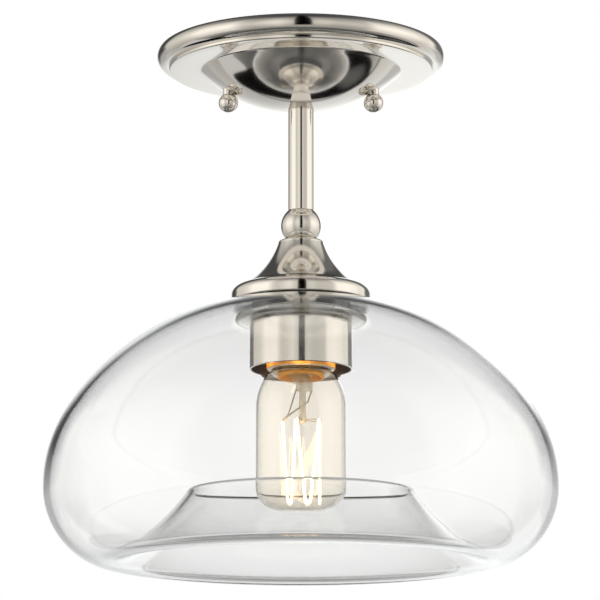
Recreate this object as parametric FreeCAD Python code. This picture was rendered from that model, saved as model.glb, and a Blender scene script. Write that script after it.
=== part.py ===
import FreeCAD, Part
import math
import os

# Semi flush ceiling light: stepped canopy, stem, ball, bell-shaped shade holder, clear turned-in glass shade,
# ceramic lamp socket in a metal cup and a tubular filament bulb.
# Millimetres. The ceiling plane is z = 0 and the light hangs towards -Z. The stem runs down the Z axis.
# Profiles are drawn as (radius, height) and turned about the stem axis.

os.makedirs("parts", exist_ok=True)
V = FreeCAD.Vector

# Canopy, spun from sheet
sheet_wall = 1.0
step_r = 65.9
step_height = 1.9
bead_r = 5.0
bead_inset = 1.0
bead_centre_r = step_r + bead_inset
lip_inner_r = bead_centre_r - 2.4
step_z = -bead_r - math.sqrt(bead_r ** 2 - bead_inset ** 2) - step_height
step_edge_r = 0.8
crease_r = 1.8
dome_r = 72.0
dome_seat_z = -31.5
dome_seat_r = 7.52
dome_centre_z = dome_seat_z + math.sqrt(dome_r ** 2 - dome_seat_r ** 2)
inner_seat_r = 9.0
inner_seat_z = dome_centre_z - math.sqrt((dome_r - sheet_wall) ** 2 - inner_seat_r ** 2)

# Mounting strap and its screws
strap_length = 104.0
strap_width = 20.0
strap_thickness = 2.0
strap_corner_r = 3.0
box_screw_spacing = 88.9
box_slot_width = 5.0
box_slot_length = 8.0
knob_x = 36.15
stud_r = 2.08
stud_bottom_z = -29.5
thread_clearance = 0.17
stud_hole_r = stud_r + 0.07
strap_centre_hole_r = 5.2
locknut_flats = 8.7
locknut_height = 3.0
ground_x = 18.0
ground_shank_r = 2.3
ground_clearance = 0.2
ground_head_r = 4.6
ground_head_height = 2.4
ground_washer_r = 5.4
ground_washer_t = 0.8

# Ball knobs
knob_r = 4.95
knob_z = -27.9
knob_neck_r = 2.8
knob_neck_top_z = -20.2
knob_bore_r = stud_r + thread_clearance
knob_bore_z = -31.0
knob_hole_r = 3.2

# Pipe and the pieces strung on it
pipe_r = 5.1
pipe_bore_r = 3.6
pipe_top_z = -24.0
pipe_bottom_z = -121.0
pipe_hole_r = pipe_r + 0.2
nut_flats = 15.0
nut_height = 4.0
nut_clearance = 0.15
lock_washer_r = 8.0
lock_washer_t = 1.0
tube_r = 6.35
tube_wall = 0.9
ball_r = 10.0
ball_flat = 7.6
ball_top_z = -83.0
ball_z = ball_top_z - ball_flat
ball_bottom_z = ball_z - ball_flat

# Bell-shaped shade holder
bell_top_z = ball_bottom_z
bell_top_r = 11.3
bell_top_round = 1.3
bell_plate = 2.0
bell_wall = 1.5
bell_flare_r = 40.3
bell_flare_reach = 49.42
bell_flare_rise = 11.8
bell_flare_centre = (bell_flare_reach, bell_top_z + bell_flare_rise)
bell_shoulder_r = 4.2
bell_shoulder_slope = 20.0
bell_band_r = 34.5
bell_band_height = 3.4
bell_height = 30.8
bell_rim_z = bell_top_z - bell_height
bell_shoulder_centre = (bell_band_r - bell_shoulder_r, bell_rim_z + bell_band_height)
bell_seat_depth = 3.6
bell_seat_z = bell_rim_z + bell_seat_depth
bell_recess_r = bell_band_r - 1.4
bell_cavity_r = 28.0
bell_cavity_height = 3.9
bell_cavity_z = bell_seat_z + bell_cavity_height
bell_flare_end_r = 26.0

# Glass shade
glass_wall = 3.0
glass_hole_r = 17.8
gasket_height = 3.84
glass_top_z = bell_seat_z - gasket_height
glass_land_r = 31.0
crown_r = 121.28
crown_reach = 12.857
crown_centre_z = glass_top_z - math.sqrt(crown_r ** 2 - (glass_land_r - crown_reach) ** 2)
crown_centre = (crown_reach, crown_centre_z)
glass_under_z = glass_top_z - glass_wall
crown_inner_r = crown_r - glass_wall
glass_land_inner_r = crown_reach + math.sqrt(crown_inner_r ** 2 - (glass_under_z - crown_centre_z) ** 2)
glass_edge = 0.5
crown_end = 57.61
waist_r = 68.21
waist_end = 91.89
belly_r = 39.57
belly_end = 150.0
foot_r = 25.0
foot_end = 180.0
heel_r = 18.0
heel_end = 214.0
collar_r = 110.0
collar_end = 236.6

# Gaskets
top_gasket_inner_r = 24.0
top_gasket_r = bell_recess_r - 0.2
clear_gasket_inner_r = 17.2
clear_neck_r = 24.0
clear_neck_height = 2.36
clear_flange_height = 3.7
clear_neck_z = glass_under_z - clear_neck_height
clear_flange_r = 32.8
clear_bottom_z = clear_neck_z - clear_flange_height

# Socket cup
cup_r = 25.5
cup_wall = 1.0
cup_height = 24.2
cup_mouth_z = clear_bottom_z - cup_height
cup_hole_r = 17.1
cup_round = 1.6

# Socket
socket_r = 16.5
cap_hub_r = 9.0
cap_hub_top_z = -110.0
cap_disc_top_z = -118.0
socket_top_z = -124.0
socket_floor_z = socket_top_z - 10.0
socket_mouth_z = socket_top_z - 38.8
socket_bore_r = 14.6
socket_edge = 0.4
ridge_pitch = 1.2
ridge_depth = 0.5
ridge_start_z = -148.4
ring_inner_r = socket_r + 0.3
ring_r = 22.0
ring_height = 4.4
ring_top_z = clear_bottom_z - cup_wall - 0.3
ring_bottom_z = ring_top_z - ring_height
lead_r = 1.1
lead_x = 1.8
lead_top_z = -14.0
lead_bottom_z = -129.5
lead_hole_r = lead_r + 0.2
lead_hole_z = -130.0

# Screw shell and contact
thread_pitch = 3.629
shell_inner_r = 13.35
shell_depth = 0.5
shell_wall = 0.35
shell_bottom_z = -161.5
shell_flange_inner_r = 8.0
shell_flange_t = 0.5
contact_low_z = -139.1
contact_t = 0.5
contact_width = 6.0

# Bulb
bulb_clearance = 0.3
tip_top_z = contact_low_z - bulb_clearance
tip_r = 3.8
insulator_top_z = -141.4
insulator_bottom_z = -145.4
insulator_small_r = 4.6
insulator_large_r = 11.4
base_r = 13.0
base_wall = 0.35
base_depth = 0.6
base_top_z = insulator_bottom_z - bulb_clearance
base_top_r = 11.9
base_eyelet_r = 9.0
base_rim_z = -163.4
base_skirt_z = -158.6
neck_r = 12.4
neck_top_z = -159.2
bulb_wall = 0.8
bulb_r = 22.225
shoulder_turn = 61.1
shoulder_big_r = 30.0
shoulder_big_z = -181.0
shoulder_small_r = 6.0
corner_r = 14.5
corner_z = -222.9
bulb_bottom_z = corner_z - corner_r
stem_x = 0.8
rod_r = 1.7
rod_tip_z = -189.5
press_x = 1.6
press_width = 8.2
press_depth = 4.4
press_top_z = -166.8
press_bottom_z = -172.8
flare_r = 11.2
flare_top_z = -160.2
bulb_lead_r = 0.35
support_r = 0.22
support_z = -188.0
cage_r = 10.0
filament_r = 0.3
filament_low_z = -233.0
filament_spread = 9.0
filament_leg_r = cage_r - 1.6
filament_loop_r = cage_r - 1.8
filament_loop_height = 1.8
left_lead_x = 2.3
left_lead_bend_x = 6.2
lead_front_y = 0.9
left_lead_bend_y = 1.2
left_lead_bend_z = -184.9
right_lead_x = 5.4
right_lead_bend_x = 3.3
right_lead_bend_y = 2.6
right_lead_bend_z = -177.9
right_lead_turn_x = 4.6
right_lead_turn_y = 2.4
right_lead_turn_z = -183.6
lead_seal_z = press_bottom_z + 1.0


def point(r, z):
    return V(r, 0, z)


def line(a, b):
    return Part.makeLine(a, b)


def on_arc(centre, radius, angle):
    t = math.radians(angle)
    return point(centre[0] + radius * math.sin(t), centre[1] + radius * math.cos(t))


def arc(centre, radius, start, end):
    a = on_arc(centre, radius, start)
    b = on_arc(centre, radius, (start + end) / 2)
    c = on_arc(centre, radius, end)
    return Part.Arc(a, b, c).toShape()


def next_centre(centre, radius, new_radius, angle):
    end = on_arc(centre, radius - new_radius, angle)
    return (end.x, end.z)


def spin(edges):
    face = Part.Face(Part.Wire(edges))
    return face.revolve(V(0, 0, 0), V(0, 0, 1), 360)


def turned(profile):
    corners = [point(r, z) for r, z in profile]
    corners.append(corners[0])
    face = Part.Face(Part.makePolygon(corners))
    return face.revolve(V(0, 0, 0), V(0, 0, 1), 360)


def tube(outer, inner, top, bottom):
    return turned([(inner, top), (outer, top), (outer, bottom), (inner, bottom)])


def pin(radius, top, bottom, x=0.0, y=0.0):
    return Part.makeCylinder(radius, top - bottom, V(x, y, bottom))


def rod(a, b, radius):
    return Part.makeCylinder(radius, (b - a).Length, a, b - a)


def wire_run(points, radius):
    pieces = [rod(a, b, radius) for a, b in zip(points[:-1], points[1:])]
    pieces.extend(Part.makeSphere(radius * 1.03, p) for p in points[1:-1])
    return pieces[0].multiFuse(pieces[1:]).removeSplitter()


def hex_nut(flats, top, bottom, bore_r):
    corner_r = flats / math.sqrt(3)
    corners = []
    for i in range(7):
        t = math.radians(60 * i + 30)
        corners.append(V(corner_r * math.cos(t), corner_r * math.sin(t), bottom))
    prism = Part.Face(Part.makePolygon(corners)).extrude(V(0, 0, top - bottom))
    cham = corner_r - flats / 2
    blank = turned([
        (bore_r, top), (flats / 2, top), (corner_r + 0.2, top - cham * 0.6),
        (corner_r + 0.2, bottom + cham * 0.6), (flats / 2, bottom), (bore_r, bottom),
    ])
    return prism.common(blank)


def save(shape, node):
    if shape.Volume < 0:
        shape.reverse()
    shape.exportStep("parts/" + node + ".step")


def mounting_strap():
    body = Part.makeBox(strap_length, strap_width, strap_thickness,
                        V(-strap_length / 2, -strap_width / 2, -strap_thickness))
    upright = [e for e in body.Edges if abs(e.tangentAt(e.FirstParameter).z) > 0.9]
    body = body.makeFillet(strap_corner_r, upright)
    half_slot = (box_slot_length - box_slot_width) / 2
    cutters = [pin(strap_centre_hole_r, 1, -strap_thickness - 1)]
    cutters.append(pin(ground_shank_r + ground_clearance, 1, -strap_thickness - 1, ground_x))
    for side in (-1, 1):
        x = side * box_screw_spacing / 2
        r = box_slot_width / 2
        cutters.append(pin(r, 1, -strap_thickness - 1, x - half_slot))
        cutters.append(pin(r, 1, -strap_thickness - 1, x + half_slot))
        cutters.append(Part.makeBox(2 * half_slot, box_slot_width, strap_thickness + 2,
                                    V(x - half_slot, -r, -strap_thickness - 1)))
        cutters.append(pin(stud_hole_r, 1, -strap_thickness - 1, side * knob_x))
    for cutter in cutters:
        body = body.cut(cutter)
    return body.removeSplitter()


def canopy_studs():
    cham = 0.5
    profile = [
        (0, 0), (stud_r, 0), (stud_r, stud_bottom_z + cham),
        (stud_r - cham, stud_bottom_z), (0, stud_bottom_z),
    ]
    return [moved(turned(profile), side * knob_x) for side in (-1, 1)]


def moved(shape, x):
    copy = shape.copy()
    copy.translate(V(x, 0, 0))
    return copy


def stud_locknuts():
    top = -strap_thickness
    nut = hex_nut(locknut_flats, top, top - locknut_height, stud_r + thread_clearance)
    return [moved(nut, side * knob_x) for side in (-1, 1)]


def ground_washer():
    top = -strap_thickness
    ring = tube(ground_washer_r, ground_shank_r + ground_clearance, top, top - ground_washer_t)
    return moved(ring, ground_x)


def ground_screw():
    seat = -strap_thickness - ground_washer_t
    low = seat - ground_head_height
    edge = 0.6
    body = turned([
        (0, 0), (ground_shank_r, 0), (ground_shank_r, seat), (ground_head_r, seat),
        (ground_head_r, low + edge), (ground_head_r - edge, low), (0, low),
    ])
    slot = Part.makeBox(2 * ground_head_r + 2, 1.0, 1.2, V(-ground_head_r - 1, -0.5, low - 0.1))
    return moved(body.cut(slot), ground_x)


def canopy():
    bead = (bead_centre_r, -bead_r)
    bead_inner_r = bead_r - sheet_wall
    bead_stop = 180 + math.degrees(math.asin((bead_centre_r - step_r) / bead_r))
    step_inner_r = step_r - sheet_wall
    bead_inner_stop = 180 + math.degrees(math.asin((bead_centre_r - step_inner_r) / bead_inner_r))
    edge = (step_r - step_edge_r, step_z + step_edge_r)
    dome = (0.0, dome_centre_z)
    crease_z = step_z - crease_r
    reach = dome_r + crease_r
    crease = (math.sqrt(reach ** 2 - (dome_centre_z - crease_z) ** 2), crease_z)
    dome_start = 180 - math.degrees(math.asin(crease[0] / reach))
    dome_stop = 180 - math.degrees(math.asin(dome_seat_r / dome_r))
    inner_r = dome_r - sheet_wall
    inner_stop = 180 - math.degrees(math.asin(inner_seat_r / inner_r))
    crease_stop = dome_start - 180
    annulus_z = step_z + sheet_wall
    edges = [
        line(point(lip_inner_r, 0), point(bead_centre_r, 0)),
        arc(bead, bead_r, 0, bead_stop),
        line(on_arc(bead, bead_r, bead_stop), point(step_r, edge[1])),
        arc(edge, step_edge_r, 90, 180),
        line(point(edge[0], step_z), point(crease[0], step_z)),
        arc(crease, crease_r, 0, crease_stop),
        arc(dome, dome_r, dome_start, dome_stop),
        line(point(dome_seat_r, dome_seat_z), point(pipe_hole_r, dome_seat_z)),
        line(point(pipe_hole_r, dome_seat_z), point(pipe_hole_r, inner_seat_z)),
        line(point(pipe_hole_r, inner_seat_z), point(inner_seat_r, inner_seat_z)),
        arc(dome, inner_r, inner_stop, dome_start),
        arc(crease, crease_r + sheet_wall, crease_stop, 0),
        line(point(crease[0], annulus_z), point(step_inner_r, annulus_z)),
        line(point(step_inner_r, annulus_z), on_arc(bead, bead_inner_r, bead_inner_stop)),
        arc(bead, bead_inner_r, bead_inner_stop, 0),
        line(point(bead_centre_r, -sheet_wall), point(lip_inner_r, -sheet_wall)),
        line(point(lip_inner_r, -sheet_wall), point(lip_inner_r, 0)),
    ]
    body = spin(edges)
    for side in (-1, 1):
        body = body.cut(pin(knob_hole_r, step_z, dome_seat_z, side * knob_x))
    return body


def ball_knob(side):
    centre = (0.0, knob_z)
    meet = math.degrees(math.asin(knob_neck_r / knob_r))
    cham = 0.3
    edges = [
        arc(centre, knob_r, 180, meet),
        line(on_arc(centre, knob_r, meet), point(knob_neck_r, knob_neck_top_z - cham)),
        line(point(knob_neck_r, knob_neck_top_z - cham), point(knob_neck_r - cham, knob_neck_top_z)),
        line(point(knob_neck_r - cham, knob_neck_top_z), point(knob_bore_r, knob_neck_top_z)),
        line(point(knob_bore_r, knob_neck_top_z), point(knob_bore_r, knob_bore_z)),
        line(point(knob_bore_r, knob_bore_z), point(0, knob_bore_z)),
        line(point(0, knob_bore_z), point(0, knob_z - knob_r)),
    ]
    return moved(spin(edges), side * knob_x)


def canopy_lock_washer():
    return tube(lock_washer_r, pipe_r + nut_clearance, inner_seat_z + lock_washer_t, inner_seat_z)


def canopy_nut():
    bottom = inner_seat_z + lock_washer_t
    return hex_nut(nut_flats, bottom + nut_height, bottom, pipe_r + nut_clearance)


def threaded_pipe():
    cham = 0.6
    return turned([
        (pipe_bore_r, pipe_top_z), (pipe_r - cham, pipe_top_z), (pipe_r, pipe_top_z - cham),
        (pipe_r, pipe_bottom_z + cham), (pipe_r - cham, pipe_bottom_z), (pipe_bore_r, pipe_bottom_z),
    ])


def stem_tube():
    return tube(tube_r, tube_r - tube_wall, dome_seat_z, ball_top_z)


def ball_spacer():
    centre = (0.0, ball_z)
    meet = math.degrees(math.acos(ball_flat / ball_r))
    flat_r = ball_r * math.sin(math.radians(meet))
    edges = [
        line(point(pipe_hole_r, ball_top_z), point(flat_r, ball_top_z)),
        arc(centre, ball_r, meet, 180 - meet),
        line(point(flat_r, ball_bottom_z), point(pipe_hole_r, ball_bottom_z)),
        line(point(pipe_hole_r, ball_bottom_z), point(pipe_hole_r, ball_top_z)),
    ]
    return spin(edges)


def circle_r_at(centre, radius, z):
    return centre[0] - math.sqrt(radius ** 2 - (z - centre[1]) ** 2)


def bell_holder():
    round_centre = (bell_top_r - bell_top_round, bell_top_z - bell_top_round)
    flare_start_z = round_centre[1]
    flare_start_r = circle_r_at(bell_flare_centre, bell_flare_r, flare_start_z)
    slope = math.radians(bell_shoulder_slope)
    crest = on_arc(bell_shoulder_centre, bell_shoulder_r, bell_shoulder_slope)
    flare_end_r = bell_flare_end_r
    flare_end_z = crest.z + (crest.x - flare_end_r) * math.tan(slope)
    flare_mid_z = (flare_start_z + flare_end_z) / 2
    flare_mid_r = circle_r_at(bell_flare_centre, bell_flare_r, flare_mid_z)
    inner_flare_r = bell_flare_r + bell_wall
    plate_z = bell_top_z - bell_plate
    inner_top_r = circle_r_at(bell_flare_centre, inner_flare_r, plate_z)
    inner_mid_z = (plate_z + bell_cavity_z) / 2
    inner_mid_r = circle_r_at(bell_flare_centre, inner_flare_r, inner_mid_z)
    inner_end_r = circle_r_at(bell_flare_centre, inner_flare_r, bell_cavity_z)
    rim = 0.5
    edges = [
        line(point(pipe_hole_r, bell_top_z), point(round_centre[0], bell_top_z)),
        arc(round_centre, bell_top_round, 0, 90),
        line(on_arc(round_centre, bell_top_round, 90), point(flare_start_r, flare_start_z - 0.4)),
        Part.Arc(point(flare_start_r, flare_start_z - 0.4), point(flare_mid_r, flare_mid_z),
                 point(flare_end_r, flare_end_z)).toShape(),
        line(point(flare_end_r, flare_end_z), crest),
        arc(bell_shoulder_centre, bell_shoulder_r, bell_shoulder_slope, 90),
        line(on_arc(bell_shoulder_centre, bell_shoulder_r, 90), point(bell_band_r, bell_rim_z + rim)),
        arc((bell_band_r - rim, bell_rim_z + rim), rim, 90, 180),
        line(point(bell_band_r - rim, bell_rim_z), point(bell_recess_r, bell_rim_z)),
        line(point(bell_recess_r, bell_rim_z), point(bell_recess_r, bell_seat_z)),
        line(point(bell_recess_r, bell_seat_z), point(bell_cavity_r, bell_seat_z)),
        line(point(bell_cavity_r, bell_seat_z), point(bell_cavity_r, bell_cavity_z)),
        line(point(bell_cavity_r, bell_cavity_z), point(inner_end_r, bell_cavity_z)),
        Part.Arc(point(inner_end_r, bell_cavity_z), point(inner_mid_r, inner_mid_z),
                 point(inner_top_r, plate_z)).toShape(),
        line(point(inner_top_r, plate_z), point(pipe_hole_r, plate_z)),
        line(point(pipe_hole_r, plate_z), point(pipe_hole_r, bell_top_z)),
    ]
    return spin(edges)


def bell_nut():
    top = bell_top_z - bell_plate
    return hex_nut(nut_flats, top, top - nut_height, pipe_r + nut_clearance)


def gasket_top():
    cham = 0.4
    return turned([
        (top_gasket_inner_r + cham, bell_seat_z), (top_gasket_r, bell_seat_z),
        (top_gasket_r, glass_top_z + cham), (glass_land_r, glass_top_z),
        (top_gasket_inner_r + cham, glass_top_z), (top_gasket_inner_r, glass_top_z + cham),
        (top_gasket_inner_r, bell_seat_z - cham),
    ])


def glass_run(wall, land_r, top):
    centre = crown_centre
    start = math.degrees(math.asin((land_r - centre[0]) / (crown_r - wall)))
    turns = [
        (crown_r, crown_end), (waist_r, waist_end), (belly_r, belly_end),
        (foot_r, foot_end), (heel_r, heel_end), (collar_r, collar_end),
    ]
    edges = []
    radius = crown_r
    for new_radius, stop in turns:
        centre = next_centre(centre, radius, new_radius, start) if new_radius != radius else centre
        radius = new_radius
        edges.append(arc(centre, radius - wall, start, stop))
        start = stop
    first = edges[0].Vertexes[0].Point
    edges.insert(0, line(point(glass_hole_r + glass_edge, top), first))
    return edges, on_arc(centre, radius - wall, stop), centre


def glass_shade():
    outer, outer_end, centre = glass_run(0.0, glass_land_r, glass_top_z)
    under_z = glass_under_z
    inner, inner_end, centre = glass_run(glass_wall, glass_land_inner_r, under_z)
    t = math.radians(collar_end)
    middle = (outer_end + inner_end) * 0.5
    tip = middle + V(math.cos(t), 0, -math.sin(t)) * (glass_wall / 2)
    edges = outer + [Part.Arc(outer_end, tip, inner_end).toShape()]
    edges.extend(inner)
    low_edge = point(glass_hole_r, under_z + glass_edge)
    high_edge = point(glass_hole_r, glass_top_z - glass_edge)
    edges.append(line(point(glass_hole_r + glass_edge, under_z), low_edge))
    edges.append(line(low_edge, high_edge))
    edges.append(line(high_edge, point(glass_hole_r + glass_edge, glass_top_z)))
    return spin(Part.sortEdges(edges)[0])


def clear_gasket():
    nose = (clear_neck_z - clear_bottom_z) / 2
    nose_centre = (clear_flange_r - nose, clear_neck_z - nose)
    top = glass_under_z
    edges = [
        line(point(clear_gasket_inner_r, top), point(clear_neck_r, top)),
        line(point(clear_neck_r, top), point(clear_neck_r, clear_neck_z)),
        line(point(clear_neck_r, clear_neck_z), point(nose_centre[0], clear_neck_z)),
        arc(nose_centre, nose, 0, 180),
        line(point(nose_centre[0], clear_bottom_z), point(clear_gasket_inner_r, clear_bottom_z)),
        line(point(clear_gasket_inner_r, clear_bottom_z), point(clear_gasket_inner_r, top)),
    ]
    return spin(edges)


def socket_cup():
    top = clear_bottom_z
    corner = (cup_r - cup_round, top - cup_round)
    inner_r = cup_r - cup_wall
    edges = [
        line(point(cup_hole_r, top), point(corner[0], top)),
        arc(corner, cup_round, 0, 90),
        line(on_arc(corner, cup_round, 90), point(cup_r, cup_mouth_z)),
        line(point(cup_r, cup_mouth_z), point(inner_r, cup_mouth_z)),
        line(point(inner_r, cup_mouth_z), point(inner_r, corner[1])),
        arc(corner, cup_round - cup_wall, 90, 0),
        line(point(corner[0], top - cup_wall), point(cup_hole_r, top - cup_wall)),
        line(point(cup_hole_r, top - cup_wall), point(cup_hole_r, top)),
    ]
    return spin(edges)


def shade_ring():
    edge = 0.7
    body = turned([
        (ring_inner_r, ring_top_z), (ring_r - edge, ring_top_z), (ring_r, ring_top_z - edge),
        (ring_r, ring_bottom_z + edge), (ring_r - edge, ring_bottom_z), (ring_inner_r, ring_bottom_z),
    ])
    for i in range(12):
        t = math.radians(30 * i)
        body = body.cut(pin(1.1, ring_top_z + 1, ring_bottom_z - 1,
                            (ring_r + 0.4) * math.cos(t), (ring_r + 0.4) * math.sin(t)))
    return body


def socket_cap():
    edge = 0.8
    seat = pipe_bottom_z - 0.3
    body = turned([
        (pipe_hole_r, cap_hub_top_z), (cap_hub_r - edge, cap_hub_top_z), (cap_hub_r, cap_hub_top_z - edge),
        (cap_hub_r, cap_disc_top_z), (socket_r - 2.5, cap_disc_top_z), (socket_r, cap_disc_top_z - 2.5),
        (socket_r, socket_top_z), (pipe_bore_r, socket_top_z), (pipe_bore_r, seat), (pipe_hole_r, seat),
    ])
    return body


def socket_body():
    profile = [(0, socket_top_z), (socket_r, socket_top_z), (socket_r, ridge_start_z)]
    z = ridge_start_z
    while z - ridge_pitch > socket_mouth_z + socket_edge:
        profile.append((socket_r - ridge_depth, z - ridge_pitch / 2))
        profile.append((socket_r, z - ridge_pitch))
        z -= ridge_pitch
    profile.append((socket_r, socket_mouth_z + socket_edge))
    profile.append((socket_r - socket_edge, socket_mouth_z))
    profile.append((socket_bore_r + socket_edge / 2, socket_mouth_z))
    profile.append((socket_bore_r, socket_mouth_z + socket_edge / 2))
    profile.append((socket_bore_r, socket_floor_z))
    profile.append((0, socket_floor_z))
    body = turned(profile)
    for side in (-1, 1):
        body = body.cut(pin(lead_hole_r, socket_top_z + 1, lead_hole_z, side * lead_x))
    return body


def ridge_points(crest_r, depth, top, bottom, pitch):
    points = []
    turns = int((top - bottom) / pitch)
    steps = 8
    for i in range(turns * steps + 1):
        z = top - pitch * i / steps
        r = crest_r + depth * (1 - math.cos(2 * math.pi * i / steps)) / 2
        points.append(point(r, z))
    return points


def wavy_band(crest_r, depth, wall, top, bottom, pitch):
    points = ridge_points(crest_r, depth, top, bottom, pitch)
    inner = Part.BSplineCurve()
    inner.interpolate(points)
    outer = Part.BSplineCurve()
    outer.interpolate([p + V(wall, 0, 0) for p in points])
    first, last = points[0], points[-1]
    edges = [
        inner.toShape(), line(last, last + V(wall, 0, 0)),
        outer.toShape(), line(first + V(wall, 0, 0), first),
    ]
    return spin(Part.sortEdges(edges)[0]), last.z


def screw_shell():
    top = socket_floor_z - shell_flange_t
    wave_top = top - 2.0
    wave_low = shell_bottom_z + 1.0
    band, low = wavy_band(shell_inner_r, shell_depth, shell_wall, wave_top, wave_low, thread_pitch)
    outer_r = shell_inner_r + shell_wall
    mouth_flare = 0.4
    flange = turned([
        (shell_flange_inner_r, socket_floor_z), (outer_r, socket_floor_z), (outer_r, wave_top),
        (shell_inner_r, wave_top), (shell_inner_r, top), (shell_flange_inner_r, top),
    ])
    mouth = turned([
        (shell_inner_r, low), (outer_r, low),
        (outer_r + mouth_flare, shell_bottom_z), (shell_inner_r + mouth_flare, shell_bottom_z),
    ])
    return band.multiFuse([flange, mouth]).removeSplitter()


def centre_contact():
    top = socket_floor_z
    low = contact_low_z
    half = contact_width / 2
    side = [
        (-6.5, top), (-2.6, top), (1.4, low + contact_t), (3.0, low + contact_t + 0.6),
        (3.2, low + 0.6), (1.2, low), (-0.6, low), (-3.4, top - contact_t), (-6.5, top - contact_t),
    ]
    corners = [V(x, -half, z) for x, z in side]
    corners.append(corners[0])
    return Part.Face(Part.makePolygon(corners)).extrude(V(0, contact_width, 0))


def lead_wire(side):
    return pin(lead_r, lead_top_z, lead_bottom_z, side * lead_x)


def bulb_tip():
    side_z = insulator_top_z + 0.6
    rise = tip_top_z - side_z
    cap_r = (tip_r ** 2 + rise ** 2) / (2 * rise)
    cap_centre = (0.0, tip_top_z - cap_r)
    edges = [
        line(point(0, insulator_top_z), point(tip_r, insulator_top_z)),
        line(point(tip_r, insulator_top_z), point(tip_r, side_z)),
        arc(cap_centre, cap_r, math.degrees(math.asin(tip_r / cap_r)), 0),
        line(point(0, tip_top_z), point(0, insulator_top_z)),
    ]
    return spin(edges)


def bulb_insulator():
    return turned([
        (0, insulator_top_z), (insulator_small_r, insulator_top_z),
        (insulator_large_r, insulator_bottom_z + 0.8), (insulator_large_r, insulator_bottom_z),
        (0, insulator_bottom_z),
    ])


def bulb_base():
    root_r = base_r - base_depth
    wave_top = base_top_z - 1.4
    points = ridge_points(base_r, -base_depth, wave_top, base_skirt_z, thread_pitch)
    low = points[-1].z
    inner = [p - V(base_wall, 0, 0) for p in points]
    outer_curve = Part.BSplineCurve()
    outer_curve.interpolate(points)
    inner_curve = Part.BSplineCurve()
    inner_curve.interpolate(inner)
    first = points[0]
    edges = [
        line(point(base_eyelet_r, base_top_z), point(base_top_r, base_top_z)),
        line(point(base_top_r, base_top_z), first),
        outer_curve.toShape(),
        line(points[-1], point(base_r, base_rim_z)),
        line(point(base_r, base_rim_z), point(base_r - base_wall, base_rim_z)),
        line(point(base_r - base_wall, base_rim_z), inner[-1]),
        inner_curve.toShape(),
        line(inner[0], point(base_top_r - 0.2, base_top_z - base_wall)),
        line(point(base_top_r - 0.2, base_top_z - base_wall), point(base_eyelet_r, base_top_z - base_wall)),
        line(point(base_eyelet_r, base_top_z - base_wall), point(base_eyelet_r, base_top_z)),
    ]
    return spin(Part.sortEdges(edges)[0])


def bulb_outline(wall):
    big = (bulb_r - shoulder_big_r, shoulder_big_z)
    small = next_centre(big, shoulder_big_r, shoulder_small_r, shoulder_turn)
    corner = (bulb_r - corner_r, corner_z)
    top = small[1] + shoulder_small_r - wall
    side_r = bulb_r - wall
    edges = [
        line(point(neck_r - wall, neck_top_z), point(neck_r - wall, top)),
        line(point(neck_r - wall, top), point(small[0], top)),
        arc(small, shoulder_small_r - wall, 0, shoulder_turn),
        arc(big, shoulder_big_r - wall, shoulder_turn, 90),
        line(point(side_r, shoulder_big_z), point(side_r, corner_z)),
        arc(corner, corner_r - wall, 90, 180),
        line(point(corner[0], bulb_bottom_z + wall), point(0, bulb_bottom_z + wall)),
    ]
    return edges


def bulb_glass():
    edges = bulb_outline(0.0) + bulb_outline(bulb_wall)
    edges.append(line(point(0, bulb_bottom_z), point(0, bulb_bottom_z + bulb_wall)))
    edges.append(line(point(neck_r, neck_top_z), point(neck_r - bulb_wall, neck_top_z)))
    return spin(Part.sortEdges(edges)[0])


def bulb_stem():
    bead = 2.1
    rod_body = turned([
        (0, lead_seal_z), (rod_r, lead_seal_z), (rod_r, rod_tip_z + 4.6),
        (bead, rod_tip_z + 3.2), (bead, rod_tip_z + 1.2), (bead - 1.0, rod_tip_z), (0, rod_tip_z),
    ])
    press = Part.makeBox(press_width, press_depth, press_top_z - press_bottom_z,
                         V(press_x - press_width / 2, -press_depth / 2, press_bottom_z))
    press = press.makeFillet(1.4, press.Edges)
    neck_inner_r, neck_outer_r, flare_lip = 3.0, 4.6, 0.9
    flare = turned([
        (neck_inner_r, flare_top_z - 4.4), (flare_r - flare_lip, flare_top_z), (flare_r, flare_top_z),
        (flare_r, flare_top_z - flare_lip), (neck_outer_r + 0.4, flare_top_z - 5.4),
        (neck_outer_r, press_top_z - 1.6), (0, press_top_z - 1.6), (0, press_top_z + 0.4),
        (neck_inner_r, press_top_z + 0.4),
    ])
    return moved(rod_body, stem_x).multiFuse([press, flare]).removeSplitter()


def hook_point(angle, z=support_z, r=cage_r):
    t = math.radians(angle)
    return V(stem_x + r * math.cos(t), r * math.sin(t), z)


hook_angles = [108.0, 36.0, -36.0, -108.0]
filament_ends = [172.0, 188.0]


def bulb_lead_wires():
    left = [
        V(-left_lead_x, -lead_front_y, lead_seal_z),
        V(-left_lead_bend_x, -left_lead_bend_y, left_lead_bend_z),
        hook_point(filament_ends[1]),
    ]
    right = [
        V(right_lead_x, lead_front_y, lead_seal_z),
        V(right_lead_bend_x, right_lead_bend_y, right_lead_bend_z),
        V(-right_lead_turn_x, right_lead_turn_y, right_lead_turn_z),
        hook_point(filament_ends[0]),
    ]
    return [wire_run(left, bulb_lead_r), wire_run(right, bulb_lead_r)]


def bulb_supports():
    pieces = []
    for angle in hook_angles:
        t = math.radians(angle)
        inner = V(stem_x + 1.2 * math.cos(t), 1.2 * math.sin(t), rod_tip_z + 2.2)
        outer = hook_point(angle, support_z, cage_r + 0.9)
        tip = hook_point(angle, support_z - 1.3, cage_r + 0.9)
        pieces.append(wire_run([inner, outer, tip], support_r))
    return pieces


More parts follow.
